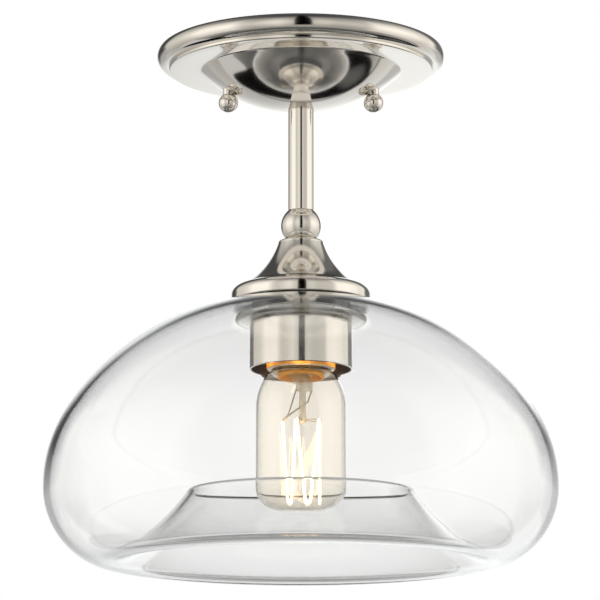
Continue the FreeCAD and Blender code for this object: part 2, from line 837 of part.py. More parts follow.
def bulb_filament():
    tops = [filament_ends[0]] + hook_angles + [filament_ends[1] - 360]
    points = []
    for i in range(len(tops) - 1):
        middle = (tops[i] + tops[i + 1]) / 2
        spread = filament_spread
        low = filament_low_z + filament_loop_height
        points.append(hook_point(tops[i] - (2.0 if i else 0.0), support_z - 0.2))
        points.append(hook_point(middle + spread, low, filament_leg_r))
        points.append(hook_point(middle, filament_low_z, filament_loop_r))
        points.append(hook_point(middle - spread, low, filament_leg_r))
        last = i == len(tops) - 2
        points.append(hook_point(tops[i + 1] + (0.0 if last else 2.0), support_z - 0.2))
    return wire_run(points, filament_r)


def group(solids):
    return Part.makeCompound(solids)


save(mounting_strap(), "mounting_strap")
save(group(canopy_studs()), "canopy_studs")
save(group(stud_locknuts()), "stud_locknuts")
save(ground_washer(), "ground_washer")
save(ground_screw(), "ground_screw")
save(canopy(), "canopy")
save(ball_knob(-1), "ball_knob_left")
save(ball_knob(1), "ball_knob_right")
save(canopy_lock_washer(), "canopy_lock_washer")
save(canopy_nut(), "canopy_nut")
save(threaded_pipe(), "threaded_pipe")
save(stem_tube(), "stem_tube")
save(ball_spacer(), "ball_spacer")
save(bell_holder(), "bell_holder")
save(bell_nut(), "bell_nut")
save(gasket_top(), "gasket_top")
save(glass_shade(), "glass_shade")
save(clear_gasket(), "clear_gasket")
save(socket_cup(), "socket_cup")
save(shade_ring(), "shade_ring")
save(socket_cap(), "socket_cap")
save(socket_body(), "socket_body")
save(screw_shell(), "screw_shell")
save(centre_contact(), "centre_contact")
save(lead_wire(-1), "lead_wire_live")
save(lead_wire(1), "lead_wire_neutral")
save(bulb_tip(), "bulb_tip")
save(bulb_insulator(), "bulb_insulator")
save(bulb_base(), "bulb_base")
save(bulb_glass(), "bulb_glass")
save(bulb_stem(), "bulb_stem")
save(group(bulb_lead_wires()), "bulb_lead_wires")
save(group(bulb_supports()), "bulb_supports")
save(bulb_filament(), "bulb_filament")
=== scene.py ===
import math

import bmesh
import bpy
from bpy.props import FloatProperty, FloatVectorProperty, IntProperty, PointerProperty
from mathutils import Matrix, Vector


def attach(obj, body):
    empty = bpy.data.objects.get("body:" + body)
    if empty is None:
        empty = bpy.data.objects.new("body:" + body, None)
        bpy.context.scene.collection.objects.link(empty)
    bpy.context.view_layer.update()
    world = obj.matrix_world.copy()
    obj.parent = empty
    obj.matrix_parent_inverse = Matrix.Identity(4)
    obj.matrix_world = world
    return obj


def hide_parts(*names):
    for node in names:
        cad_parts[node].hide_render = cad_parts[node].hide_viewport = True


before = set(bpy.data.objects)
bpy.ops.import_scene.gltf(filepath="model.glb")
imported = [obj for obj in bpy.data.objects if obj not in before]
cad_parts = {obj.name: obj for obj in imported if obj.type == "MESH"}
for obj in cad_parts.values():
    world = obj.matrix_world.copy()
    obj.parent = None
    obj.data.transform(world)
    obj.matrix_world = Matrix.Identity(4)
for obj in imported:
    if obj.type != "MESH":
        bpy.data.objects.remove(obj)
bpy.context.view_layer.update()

bl_info = {
    "name": "Semi flush ceiling light",
    "version": (1, 0, 0),
    "blender": (4, 5, 0),
    "location": "3D View > Sidebar > Ceiling Light",
    "description": "Finishes and detail for a semi flush ceiling light with a clear glass shade",
    "category": "Object",
}

MM = 0.001
SAME_POINT = 1e-7
ON_AXIS = 1e-7


# ---------------------------------------------------------------- sizes and colours

def length(name, text, value):
    return FloatProperty(name=name, description=text, default=value, min=0.0, unit="LENGTH", precision=5)


def colour(name, text, value):
    return FloatVectorProperty(name=name, description=text, default=value, size=3, min=0.0, max=1.0, subtype="COLOR")


class CanopySizes(bpy.types.PropertyGroup):
    bead_radius: length("Bead radius", "Radius of the rolled edge", 0.005)
    bead_centre: length("Bead circle", "Radius of the circle that the rolled edge follows", 0.0669)
    step_radius: length("Step radius", "Outer radius of the flat ring", 0.0659)
    step_depth: length("Step depth", "Depth of the flat ring below the ceiling", 0.0118)
    dome_radius: length("Dome radius", "Radius of the dome's sphere", 0.072)
    seat_depth: length("Seat depth", "Depth of the flat under the stem", 0.0315)
    wall: length("Wall", "Thickness of the spun sheet", 0.001)
    knob_offset: length("Knob offset", "Distance of each ball knob from the stem", 0.03615)
    knob_radius: length("Knob radius", "Radius of each ball knob", 0.00495)


class ShadeSizes(bpy.types.PropertyGroup):
    wall: length("Glass wall", "Thickness of the shade's glass", 0.003)
    hole: length("Top hole", "Radius of the hole for the socket", 0.0178)
    top: length("Top depth", "Depth of the shade's flat land below the ceiling", 0.12924)
    lip: length("Lip round", "Rounding at the edge of the hole", 0.0005)


class BulbSizes(bpy.types.PropertyGroup):
    radius: length("Bulb radius", "Radius of the tubular bulb", 0.022225)
    wall: length("Bulb wall", "Thickness of the bulb's glass", 0.0008)
    filament: length("Filament wire", "Radius of the glowing wire", 0.00016)
    coil: length("Filament coil", "Radius of the coil that the wire is wound in", 0.0005)
    turns: IntProperty(name="Thread turns", description="Turns of thread that show on the base", default=3, min=1)


class FinishColours(bpy.types.PropertyGroup):
    nickel: colour("Nickel", "Polished nickel", (0.74, 0.695, 0.63))
    steel: colour("Steel", "Zinc plated steel", (0.55, 0.55, 0.54))
    brass: colour("Brass", "Brass of lamp base and shell", (0.80, 0.55, 0.22))
    ceramic: colour("Ceramic", "White socket", (0.86, 0.85, 0.81))
    glow: colour("Glow", "Light of the filament", (1.0, 0.80, 0.42))


# ---------------------------------------------------------------- profile and mesh tools

def on_arc(centre, radius, angle):
    t = math.radians(angle)
    return (centre[0] + radius * math.sin(t), centre[1] + radius * math.cos(t))


def arc(centre, radius, start, end, step=3.0):
    count = max(2, int(abs(end - start) / step) + 1)
    return [on_arc(centre, radius, start + (end - start) * i / count) for i in range(count + 1)]


def run(a, b, count=1):
    return [(a[0] + (b[0] - a[0]) * i / count, a[1] + (b[1] - a[1]) * i / count) for i in range(count + 1)]


def joined(*parts):
    points = []
    for part in parts:
        for p in part:
            if not points or math.dist(p, points[-1]) > SAME_POINT:
                points.append(p)
    if math.dist(points[0], points[-1]) < SAME_POINT:
        points.pop()
    return points


def link(name, mesh, material, body):
    piece = bpy.data.objects.new(name, mesh)
    bpy.context.scene.collection.objects.link(piece)
    mesh.materials.append(material)
    if body:
        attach(piece, body)
    return piece


def smooth(mesh, angle=32.0):
    for face in mesh.polygons:
        face.use_smooth = True
    mesh.set_sharp_from_angle(angle=math.radians(angle))


def finished_mesh(name, bm):
    """Turns the built points and faces into a mesh."""
    mesh = bpy.data.meshes.new(name)
    bm.to_mesh(mesh)
    bm.free()
    return mesh


def band(bm, low, high, closed=True):
    """Four-sided faces between two rows of points, all the way round or left open."""
    count = len(low)
    for k in range(count if closed else count - 1):
        n = (k + 1) % count
        bm.faces.new((low[k], low[n], high[n], high[k]))


def lathe(name, profile, material, body, around=(0.0, 0.0), segments=192, angle=32.0):
    """Turns a closed (radius, height) profile about a vertical axis."""
    bm = bmesh.new()
    rings = []
    for r, z in profile:
        ring = []
        for k in range(segments):
            t = 2 * math.pi * k / segments
            ring.append(bm.verts.new((around[0] + r * math.cos(t), around[1] + r * math.sin(t), z)))
        rings.append(ring)
    for i, ring in enumerate(rings):
        after = (i + 1) % len(rings)
        if max(profile[i][0], profile[after][0]) >= ON_AXIS:
            band(bm, ring, rings[after])
    bmesh.ops.remove_doubles(bm, verts=bm.verts, dist=1e-6)
    bmesh.ops.recalc_face_normals(bm, faces=bm.faces)
    mesh = finished_mesh(name, bm)
    smooth(mesh, angle)
    return link(name, mesh, material, body)


def tube_along(name, points, radius, material, body, sides=5):
    """A round wire of that radius through the points."""
    bm = bmesh.new()
    rings = []
    side = Vector((0, 0, 1))
    for i, p in enumerate(points):
        along = (points[min(i + 1, len(points) - 1)] - points[max(i - 1, 0)]).normalized()
        u = side - along * side.dot(along)
        if u.length < 1e-3:
            u = along.orthogonal()
        u.normalize()
        side = u
        v = along.cross(u)
        ring = []
        for k in range(sides):
            t = 2 * math.pi * k / sides
            ring.append(bm.verts.new(p + (u * math.cos(t) + v * math.sin(t)) * radius))
        rings.append(ring)
    for low, high in zip(rings[:-1], rings[1:]):
        band(bm, low, high)
    bm.faces.new(rings[0][::-1])
    bm.faces.new(rings[-1])
    bmesh.ops.recalc_face_normals(bm, faces=bm.faces)
    mesh = finished_mesh(name, bm)
    smooth(mesh, 60)
    return link(name, mesh, material, body)


def coiled(route, radius, pitch, per_turn=8):
    """Points of a fine coil wound round a route of straight runs."""
    points = []
    turn = 0.0
    u = Vector((0, 1, 0))
    for a, b in zip(route[:-1], route[1:]):
        along = (b - a).normalized()
        u = (u - along * u.dot(along)).normalized()
        v = along.cross(u)
        steps = max(1, round((b - a).length / pitch * per_turn))
        for i in range(steps):
            t = 2 * math.pi * turn
            points.append(a + (b - a) * (i / steps) + (u * math.cos(t) + v * math.sin(t)) * radius)
            turn += 1 / per_turn
    return points


# ---------------------------------------------------------------- shared effects

def math_node(tree, operation, *values):
    """A Math node fed with sockets or plain numbers."""
    node = tree.nodes.new("ShaderNodeMath")
    node.operation = operation
    for i, value in enumerate(values):
        if isinstance(value, float):
            node.inputs[i].default_value = value
        else:
            tree.links.new(value, node.inputs[i])
    return node.outputs["Value"]


def colour_mix(tree, mask, first, second, blend="MIX"):
    """A Mix node for colours; each of its three inputs is a socket or a fixed value."""
    node = tree.nodes.new("ShaderNodeMix")
    node.data_type = "RGBA"
    node.blend_type = blend
    for label, value in (("Factor", mask), ("A", first), ("B", second)):
        if isinstance(value, tuple):
            node.inputs[label].default_value = (*value, 1)
        elif isinstance(value, float):
            node.inputs[label].default_value = value
        else:
            tree.links.new(value, node.inputs[label])
    return node.outputs["Result"]


def new_group(name, inputs, outputs):
    group = bpy.data.node_groups.new(name, "ShaderNodeTree")
    for label, value in inputs:
        socket = group.interface.new_socket(label, in_out="INPUT", socket_type="NodeSocketFloat")
        socket.default_value = value
    for label in outputs:
        group.interface.new_socket(label, in_out="OUTPUT", socket_type="NodeSocketFloat")
    return group, group.nodes.new("NodeGroupInput"), group.nodes.new("NodeGroupOutput")


def polish_group():
    """Fine haze of a buffed surface: a roughness that drifts, and a faint height."""
    group, given, out = new_group(
        "Buffed haze", [("Scale", 60.0), ("Low", 0.02), ("High", 0.06)], ["Roughness", "Height"])
    nodes, links = group.nodes, group.links
    place = nodes.new("ShaderNodeTexCoord")
    broad = nodes.new("ShaderNodeTexNoise")
    broad.inputs["Detail"].default_value = 4.0
    links.new(place.outputs["Object"], broad.inputs["Vector"])
    links.new(given.outputs["Scale"], broad.inputs["Scale"])
    spread = nodes.new("ShaderNodeMapRange")
    spread.inputs["From Min"].default_value = 0.3
    spread.inputs["From Max"].default_value = 0.7
    links.new(broad.outputs["Fac"], spread.inputs["Value"])
    links.new(given.outputs["Low"], spread.inputs["To Min"])
    links.new(given.outputs["High"], spread.inputs["To Max"])
    links.new(spread.outputs["Result"], out.inputs["Roughness"])
    links.new(broad.outputs["Fac"], out.inputs["Height"])
    return group


def mottle_group():
    """Soft cloudiness of plating, glaze or rubber."""
    group, given, out = new_group("Mottling", [("Scale", 120.0), ("Depth", 0.15)], ["Mask", "Height"])
    nodes, links = group.nodes, group.links
    place = nodes.new("ShaderNodeTexCoord")
    cloud = nodes.new("ShaderNodeTexNoise")
    cloud.inputs["Detail"].default_value = 6.0
    cloud.inputs["Roughness"].default_value = 0.6
    links.new(place.outputs["Object"], cloud.inputs["Vector"])
    links.new(given.outputs["Scale"], cloud.inputs["Scale"])
    mask = math_node(group, "MULTIPLY", cloud.outputs["Fac"], given.outputs["Depth"])
    links.new(mask, out.inputs["Mask"])
    links.new(cloud.outputs["Fac"], out.inputs["Height"])
    return group


def ripple_group():
    """Long soft waves of blown glass."""
    group, given, out = new_group("Glass waves", [("Scale", 14.0)], ["Height"])
    nodes, links = group.nodes, group.links
    place = nodes.new("ShaderNodeTexCoord")
    wave = nodes.new("ShaderNodeTexNoise")
    wave.inputs["Detail"].default_value = 1.0
    links.new(place.outputs["Object"], wave.inputs["Vector"])
    links.new(given.outputs["Scale"], wave.inputs["Scale"])
    links.new(wave.outputs["Fac"], out.inputs["Height"])
    return group


SHARED = {}


def shared(name):
    makers = {"haze": polish_group, "mottle": mottle_group, "waves": ripple_group}
    if name not in SHARED:
        SHARED[name] = makers[name]()
    return SHARED[name]


def material(name, base, metallic=0.0, roughness=0.3, **sockets):
    made = bpy.data.materials.get(name)
    if made:
        return made, made.node_tree.nodes["Principled BSDF"], True
    made = bpy.data.materials.new(name)
    made.use_nodes = True
    shader = made.node_tree.nodes["Principled BSDF"]
    shader.inputs["Base Color"].default_value = (*base, 1)
    shader.inputs["Metallic"].default_value = metallic
    shader.inputs["Roughness"].default_value = roughness
    for label, value in sockets.items():
        shader.inputs[label.replace("_", " ")].default_value = value
    return made, shader, False


def add_group(made, name, **values):
    node = made.node_tree.nodes.new("ShaderNodeGroup")
    node.node_tree = shared(name)
    for label, value in values.items():
        node.inputs[label].default_value = value
    return node


def add_bump(made, shader, source, strength, distance):
    bump = made.node_tree.nodes.new("ShaderNodeBump")
    bump.inputs["Strength"].default_value = strength
    bump.inputs["Distance"].default_value = distance
    made.node_tree.links.new(source, bump.inputs["Height"])
    made.node_tree.links.new(bump.outputs["Normal"], shader.inputs["Normal"])


def add_tint(made, shader, mask, first, second):
    made.node_tree.links.new(colour_mix(made.node_tree, mask, first, second), shader.inputs["Base Color"])


def add_glow(made, shader, mask, first, second, strength):
    made.node_tree.links.new(colour_mix(made.node_tree, mask, first, second), shader.inputs["Emission Color"])
    shader.inputs["Emission Strength"].default_value = strength


def add_haze(made, shader, scale, low, high):
    haze = add_group(made, "haze", Scale=scale, Low=low, High=high)
    made.node_tree.links.new(haze.outputs["Roughness"], shader.inputs["Roughness"])
    return haze


def add_clouds(made, scale, depth=1.0):
    return add_group(made, "mottle", Scale=scale, Depth=depth)


def shade_of(base, factor):
    return tuple(min(1.0, c * factor) for c in base)


def polished_nickel():
    made, shader, ready = material("polished_nickel", tuple(bpy.context.scene.finish_colours.nickel), 1.0, 0.03)
    if not ready:
        add_haze(made, shader, 45.0, 0.015, 0.04)
    return made


def plated_steel():
    base = tuple(bpy.context.scene.finish_colours.steel)
    made, shader, ready = material("plated_steel", base, 1.0, 0.32)
    if not ready:
        cloud = add_clouds(made, 260.0)
        add_tint(made, shader, cloud.outputs["Mask"], shade_of(base, 0.8), shade_of(base, 1.2))
        haze = add_haze(made, shader, 500.0, 0.25, 0.42)
        add_bump(made, shader, haze.outputs["Height"], 0.15, 0.0001)
    return made


def mottled(name, base, roughness, scale, depth, bump, metal=0.0, **sockets):
    """A dull or glazed finish with a cloudy tint and a faint relief."""
    made, shader, ready = material(name, base, metal, roughness, **sockets)
    if not ready:
        cloud = add_clouds(made, scale)
        add_tint(made, shader, cloud.outputs["Mask"], shade_of(base, 1 - depth), shade_of(base, 1 + depth))
        add_bump(made, shader, cloud.outputs["Height"], bump, 0.0001)
    return made


def clear_glass(name, tint, waves, strength, rough=0.0):
    made, shader, ready = material(name, tint, 0.0, rough, Transmission_Weight=1.0, IOR=1.5)
    if not ready:
        wave = add_group(made, "waves", Scale=waves)
        add_bump(made, shader, wave.outputs["Height"], strength, 0.001)
    return made


def lamp_brass():
    base = tuple(bpy.context.scene.finish_colours.brass)
    made, shader, ready = material("lamp_brass", base, 1.0, 0.2)
    if not ready:
        cloud = add_clouds(made, 220.0)
        add_tint(made, shader, cloud.outputs["Mask"], shade_of(base, 0.75), shade_of(base, 1.15))
        add_haze(made, shader, 200.0, 0.12, 0.28)
    return made


def painted_glow_metal():
    """Amber metal with a faint glow: painted light of the lit bulb, in its colour and its emission."""
    made, shader, ready = material("painted_glow_metal", (0.80, 0.40, 0.09), 0.6, 0.32)
    if not ready:
        mask = add_clouds(made, 240.0).outputs["Mask"]
        # Painted light: the amber tint and the faint glow stand in for the lit bulb's warm light on the metal.
        add_tint(made, shader, mask, (0.62, 0.27, 0.04), (0.95, 0.52, 0.14))
        add_glow(made, shader, mask, (0.50, 0.20, 0.02), (0.85, 0.42, 0.08), 0.26)
    return made


def shaded_cup_lining():
    """The duller metal inside the socket cup, with painted shade: its dark colour stands in for the shade in the cup's
    hollow.
    """
    # Painted shade: a dark base colour and darker mottling for the hollow of the cup.
    made, shader, ready = material("shaded_cup_lining", (0.30, 0.27, 0.23), 1.0, 0.35)
    if not ready:
        cloud = add_clouds(made, 150.0)
        add_tint(made, shader, cloud.outputs["Mask"], (0.25, 0.22, 0.19), (0.38, 0.34, 0.29))
        add_haze(made, shader, 300.0, 0.28, 0.42)
    return made


def glowing_wire():
    """The lit filament."""
    glow = tuple(bpy.context.scene.finish_colours.glow)
    made, shader, ready = material("glowing_wire", (0.9, 0.7, 0.4), 0.0, 0.5)
    if not ready:
        cloud = add_clouds(made, 900.0, 0.6)
        add_glow(made, shader, cloud.outputs["Mask"], glow, (1.0, 0.92, 0.66), 4.5)
    return made


def repaint(node, made):
    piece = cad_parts[node]
    piece.data.materials.clear()
    piece.data.materials.append(made)


# ---------------------------------------------------------------- profiles of the turned pieces

STEM_HOLE = 5.3 * MM


def canopy_profile(s):
    bead = (s.bead_centre, -s.bead_radius)
    inner_bead = s.bead_radius - s.wall
    stop = 180 + math.degrees(math.asin((s.bead_centre - s.step_radius) / s.bead_radius))
    step_inner = s.step_radius - s.wall
    inner_stop = 180 + math.degrees(math.asin((s.bead_centre - step_inner) / inner_bead))
    edge_r, crease_r, seat_r, lip = (v * MM for v in (0.8, 1.8, 7.52, 64.5))
    centre = (0.0, -s.seat_depth + math.sqrt(s.dome_radius ** 2 - seat_r ** 2))
    edge = (s.step_radius - edge_r, -s.step_depth + edge_r)
    reach = s.dome_radius + crease_r
    crease_z = -s.step_depth - crease_r
    crease = (math.sqrt(reach ** 2 - (centre[1] - crease_z) ** 2), crease_z)
    start = 180 - math.degrees(math.asin(crease[0] / reach))
    end = 180 - math.degrees(math.asin(seat_r / s.dome_radius))
    inner_r = s.dome_radius - s.wall
    inner_seat, hole = 9.0 * MM, STEM_HOLE
    inner_end = 180 - math.degrees(math.asin(inner_seat / inner_r))
    inner_z = centre[1] - math.sqrt(inner_r ** 2 - inner_seat ** 2)
    flat = -s.step_depth + s.wall
    return joined(
        [(lip, 0.0)], arc(bead, s.bead_radius, 0, stop), arc(edge, edge_r, 90, 180, 10),
        run((edge[0], -s.step_depth), (crease[0], -s.step_depth), 3),
        arc(crease, crease_r, 0, start - 180, 5), arc(centre, s.dome_radius, start, end, 0.8),
        [(hole, -s.seat_depth), (hole, inner_z)], arc(centre, inner_r, inner_end, start, 2),
        arc(crease, crease_r + s.wall, start - 180, 0, 8), [(step_inner, flat)],
        arc(bead, inner_bead, inner_stop, 0, 8), [(lip, -s.wall)])


def knob_profile(s):
    middle, neck, bore, top, bore_end, edge = (v * MM for v in (-27.9, 2.8, 2.25, -20.2, -31.0, 0.3))
    meet = math.degrees(math.asin(neck / s.knob_radius))
    return joined(
        arc((0.0, middle), s.knob_radius, 180, meet, 4),
        [(neck, top - edge), (neck - edge, top), (bore, top), (bore, bore_end), (0.0, bore_end)])


def ball_profile():
    radius, flat, middle = (v * MM for v in (10.0, 7.6, -90.6))
    meet = math.degrees(math.acos(flat / radius))
    return joined([(STEM_HOLE, middle + flat)], arc((0.0, middle), radius, meet, 180 - meet, 2),
                  [(STEM_HOLE, middle - flat)])


def ribbed_sleeve(name, inner, outer, top, low, ribs, material, body):
    """A thin sleeve with upright ribs that fade out at both ends."""
    per_rib, back, valley = 6, 0.08 * MM, 0.35
    count = ribs * per_rib
    turns = [2 * math.pi * k / count for k in range(count)]
    bm = bmesh.new()
    rows = []
    for z, grow in ((top, 0.0), (top - 0.4 * MM, 1.0), (low + 0.5 * MM, 1.0), (low, 0.3)):
        row = []
        for t in turns:
            rib = 0.5 + 0.5 * math.cos(ribs * t)
            r = inner + back + (outer - inner) * grow * (valley + (1 - valley) * rib)
            row.append(bm.verts.new((r * math.cos(t), r * math.sin(t), z)))
        rows.append(row)
    for z in (low, top):
        rows.append([bm.verts.new((inner * math.cos(t), inner * math.sin(t), z)) for t in turns])
    for row, other in zip(rows, rows[1:] + rows[:1]):
        band(bm, row, other)
    bmesh.ops.recalc_face_normals(bm, faces=bm.faces)
    mesh = finished_mesh(name, bm)
    smooth(mesh, 40)
    return link(name, mesh, material, body)


def filament_route():
    """Five long loops hung from the hooks of the cage, in turning order."""
    axis_x, hook_r, leg_r, loop_r = (v * MM for v in (0.8, 10.0, 8.4, 8.2))
    hook_z, leg_z, low_z = (v * MM for v in (-188.2, -231.2, -233.0))
    spread, slack = 9.0, 2.0
    hooks = [172.0, 108.0, 36.0, -36.0, -108.0, -172.0]

    def at(angle, radius, z):
        t = math.radians(angle)
        return Vector((axis_x + radius * math.cos(t), radius * math.sin(t), z))

    points = []
    for i, (first, second) in enumerate(zip(hooks[:-1], hooks[1:])):
        middle = (first + second) / 2
        points.append(at(first - (slack if i else 0.0), hook_r, hook_z))
        points.append(at(middle + spread, leg_r, leg_z))
        points.append(at(middle, loop_r, low_z))
        points.append(at(middle - spread, leg_r, leg_z))
        points.append(at(second + (slack if i < len(hooks) - 2 else 0.0), hook_r, hook_z))
    return points


def stem_profile():
    outer, inner, top, low, edge = (v * MM for v in (6.35, 5.45, -31.5, -83.0, 0.15))
    return joined(
        [(inner, top), (outer - edge, top), (outer, top - edge)],
        run((outer, top - edge), (outer, low + edge), 8), [(outer - edge, low), (inner, low)])


def circle_r(centre, radius, z):
    return centre[0] - math.sqrt(radius ** 2 - (z - centre[1]) ** 2)


def bell_profile():
    top, plate, rim, seat, cavity = (v * MM for v in (-98.2, -100.2, -129.0, -125.4, -121.5))
    flare_centre = (49.42 * MM, -86.4 * MM)
    shoulder, slope = (30.3 * MM, -125.6 * MM), 20
    flare, inner_flare, waist, shoulder_r, round_r, edge = (v * MM for v in (40.3, 41.8, 11.3, 4.2, 1.3, 0.5))
    end_r, side, recess, hollow = (v * MM for v in (26.0, 34.5, 33.1, 28.0))
    corner = (waist - round_r, top - round_r)
    start_z = corner[1] - 0.4 * MM
    crest = on_arc(shoulder, shoulder_r, slope)
    end_z = crest[1] + (crest[0] - end_r) * math.tan(math.radians(slope))
    outer = [(circle_r(flare_centre, flare, z), z) for _, z in run((0, start_z), (0, end_z - 0.1 * MM), 26)]
    inner = [(circle_r(flare_centre, inner_flare, z), z) for _, z in run((0, cavity), (0, plate), 12)]
    return joined(
        [(STEM_HOLE, top)], arc(corner, round_r, 0, 90, 8), outer, [(end_r, end_z)],
        arc(shoulder, shoulder_r, slope, 90, 4), run((side, shoulder[1]), (side, rim + edge), 2),
        arc((side - edge, rim + edge), edge, 90, 180, 15),
        [(recess, rim), (recess, seat), (hollow, seat), (hollow, cavity)], inner, [(STEM_HOLE, plate)])


def cup_profile():
    outer, wall, mouth, top, round_r, hole, edge = (v * MM for v in (25.5, 1.0, -162.5, -138.3, 1.6, 17.1, 0.25))
    corner = (outer - round_r, top - round_r)
    return joined(
        [(hole, top)], arc(corner, round_r, 0, 90, 8), run((outer, corner[1]), (outer, mouth + edge), 6),
        [(outer - edge, mouth), (outer - wall + edge, mouth), (outer - wall, mouth + edge)],
        arc(corner, round_r - wall, 90, 0, 20), [(hole, top - wall)])


# (radius in mm, angle where it ends) of the arcs from the land at the top to the lip of the collar
SHADE_TURNS = [(121.28, 57.61), (68.21, 91.89), (39.57, 150.0), (25.0, 180.0), (18.0, 214.0), (110.0, 236.6)]
SHADE_CENTRE = (12.857 * MM, -249.16 * MM)


def shade_run(wall, land):
    centre, radius = SHADE_CENTRE, SHADE_TURNS[0][0] * MM
    start = math.degrees(math.asin((land - centre[0]) / (radius - wall)))
    points = []
    for size, stop in SHADE_TURNS:
        new_radius = size * MM
        if new_radius != radius:
            centre = on_arc(centre, radius - new_radius, start)
            radius = new_radius
        points.extend(arc(centre, radius - wall, start, stop, 1.2))
        start = stop
    return points


def shade_profile(s):
    under = -s.top - s.wall
    outer_land, inner_land = 31.0 * MM, 30.74 * MM
    outer = shade_run(0.0, outer_land)
    inner = shade_run(s.wall, inner_land)
    a, b = Vector(outer[-1]), Vector(inner[-1])
    middle, half = (a + b) / 2, (a - b) / 2
    t = math.radians(SHADE_TURNS[-1][1])
    ahead = Vector((math.cos(t), -math.sin(t)))
    lip, steps = [], 12
    for i in range(1, steps):
        u = math.pi * i / steps
        lip.append(tuple(middle + half * math.cos(u) + ahead * half.length * math.sin(u)))
    return joined(
        [(s.hole, -s.top - s.lip), (s.hole + s.lip, -s.top)], outer, lip, inner[::-1],
        [(s.hole + s.lip, under), (s.hole, under + s.lip)])


def clear_ring_profile():
    inner, neck, flange, top, step, low = (v * MM for v in (17.2, 24.0, 32.8, -132.24, -134.6, -138.3))
    nose = (step - low) / 2
    return joined(
        [(inner, top), (neck, top), (neck, step)], arc((flange - nose, step - nose), nose, 0, 180, 10), [(inner, low)])


def bulb_side(s, wall):
    """One face of the bulb's glass, that far inside the outer one, from the neck to the tip."""
    big_r, small_r, corner_r, neck_r, neck_top = (v * MM for v in (30.0, 6.0, 14.5, 12.4, -159.2))
    meet = 61.1
    big = (s.radius - big_r, -181.0 * MM)
    small = on_arc(big, big_r - small_r, meet)
    corner = (s.radius - corner_r, -222.9 * MM)
    neck = neck_r - wall
    top = small[1] + small_r - wall
    return joined(
        [(neck, neck_top), (neck, top)], arc(small, small_r - wall, 0, meet, 4),
        arc(big, big_r - wall, meet, 90, 2), run((s.radius - wall, big[1]), (s.radius - wall, corner[1]), 6),
        arc(corner, corner_r - wall, 90, 180, 3), [(0.0, corner[1] - corner_r + wall)])


def bulb_profile(s):
    return joined(bulb_side(s, 0.0), bulb_side(s, s.wall)[::-1])


# ---------------------------------------------------------------- stage, and what metal and glass reflect

# in metres, except the lens in mm and the rise in degrees above level
CAMERA_PLACE = (-0.0005, -1.720, -0.450)
CAMERA_LENS = 212.67
CAMERA_RISE = 10.607
FLOOR_Z = -1.25
FLOOR_REACH = 6.0
# strength of the world as a light
WORLD_LEVEL = 0.45
# (name, place, size, watts)
SOFTBOXES = [
    ("softbox_left", (-1.5, -0.9, -0.1), 1.2, 14.0), ("softbox_right", (1.5, -0.9, -0.1), 1.2, 14.0),
    ("softbox_under", (0.0, -0.6, -1.1), 1.0, 5.0)]
# (name, place in mm) of the small warm lights
GLOW_LAMPS = [
    ("glow_left", (-19.5, -9.0, -158.0)), ("glow_right", (19.5, -9.0, -158.0)), ("glow_front", (0.0, -21.0, -160.0))]

WALL_RADIUS = 1.1
WALL_CENTRE = (0.0, 0.0, -0.13)
CANOPY_MIDDLE = (0.0, 0.0, -0.03)
# the two ends of each ramp are a little cooler than what lies between them
WARM, COOL = (1.0, 0.985, 0.955), (0.97, 1.0, 1.03)
WARM_FROM, WARM_TO = 0.09, 0.91
# a ray that was mirrored more than once sees the wall lit up below this share of its radius
LIFT_BELOW = -0.55
LIFTED = (1.12, 1.12, 1.10)
# (azimuth from the camera in degrees, right positive, level)
WALL_ROUND = [
    (-180, 1.45), (-172, 1.10), (-164, 0.95), (-129, 0.80), (-110, 0.90), (-98, 1.05),
    (-86, 1.38), (-56, 1.42), (-46, 0.92), (-38, 0.80), (-18, 1.10), (-9, 0.85), (0, 0.70), (8, 0.80),
    (18, 0.86), (29, 0.72), (52, 0.80), (62, 1.38), (82, 1.45), (102, 1.30), (112, 1.10), (126, 1.20),
    (150, 1.30), (164, 1.40), (172, 1.45), (180, 1.45)]
# (elevation in degrees, level, how much of the level stands on its own instead of scaling the round levels)
WALL_HEIGHT = [
    (-90, 0.07, 1.0), (-60, 0.09, 1.0), (-48, 0.20, 1.0), (-38, 0.40, 1.0), (-31.8, 0.60, 1.0), (-31.2, 0.08, 1.0),
    (-30.4, 0.08, 1.0), (-29.8, 0.62, 0.0), (-20, 0.66, 0.0), (0, 0.90, 0.0), (13, 1.0, 0.0),
    (28, 0.88, 0.0), (45, 0.62, 0.1), (58, 0.34, 0.8), (72, 0.12, 1.0), (90, 0.07, 1.0)]
# (name, azimuths, elevations, level, soft edge or not), each a little nearer than the one before
WALL_STRIPS = [
    ("low_left", (-166, -128), (-20, 8), 0.50, True),
    ("low_right", (126, 168), (-20, 8), 0.62, True),
    ("back_top", (118, 242), (17, 72), 0.09, True),
    ("flag_left", (-162, -128), (-7, 60), 0.08, True),
    ("flag_right", (124, 158), (-6, 60), 0.18, True),
    ("front_strip", (-5.0, 8.5), (-24, 88), 0.0, False),
]
# (azimuth, elevation) round the dark patch on the floor, the lighter part in it and the shine left of it
LENS_EDGE = [
    (-139, -36.5), (-149, -33.4), (-158, -35.5), (-168, -38.8), (-180, -39), (168, -38), (156, -35), (146, -34),
    (134, -37.5), (122, -41), (110, -46.5), (96, -56), (60, -74), (-80, -76), (-118, -60), (-127, -51)]
LENS_LIGHT_EDGE = [
    (128, -42), (140, -38), (150, -37.5), (157, -40), (153, -51), (141, -59), (124, -57), (119, -48)]
SHINE_EDGE = [
    (-108, -32), (-130, -31.5), (-148, -31.5), (-143, -36), (-136, -42), (-128, -50), (-119, -49), (-112, -42)]
# (name, corners, level, soft edge or not), in front of the strips
FLOOR_PATCHES = [
    ("floor_shine", SHINE_EDGE, 0.72, False), ("floor_lens", LENS_EDGE, 0.006, False),
    ("lens_light", LENS_LIGHT_EDGE, 0.13, True)]


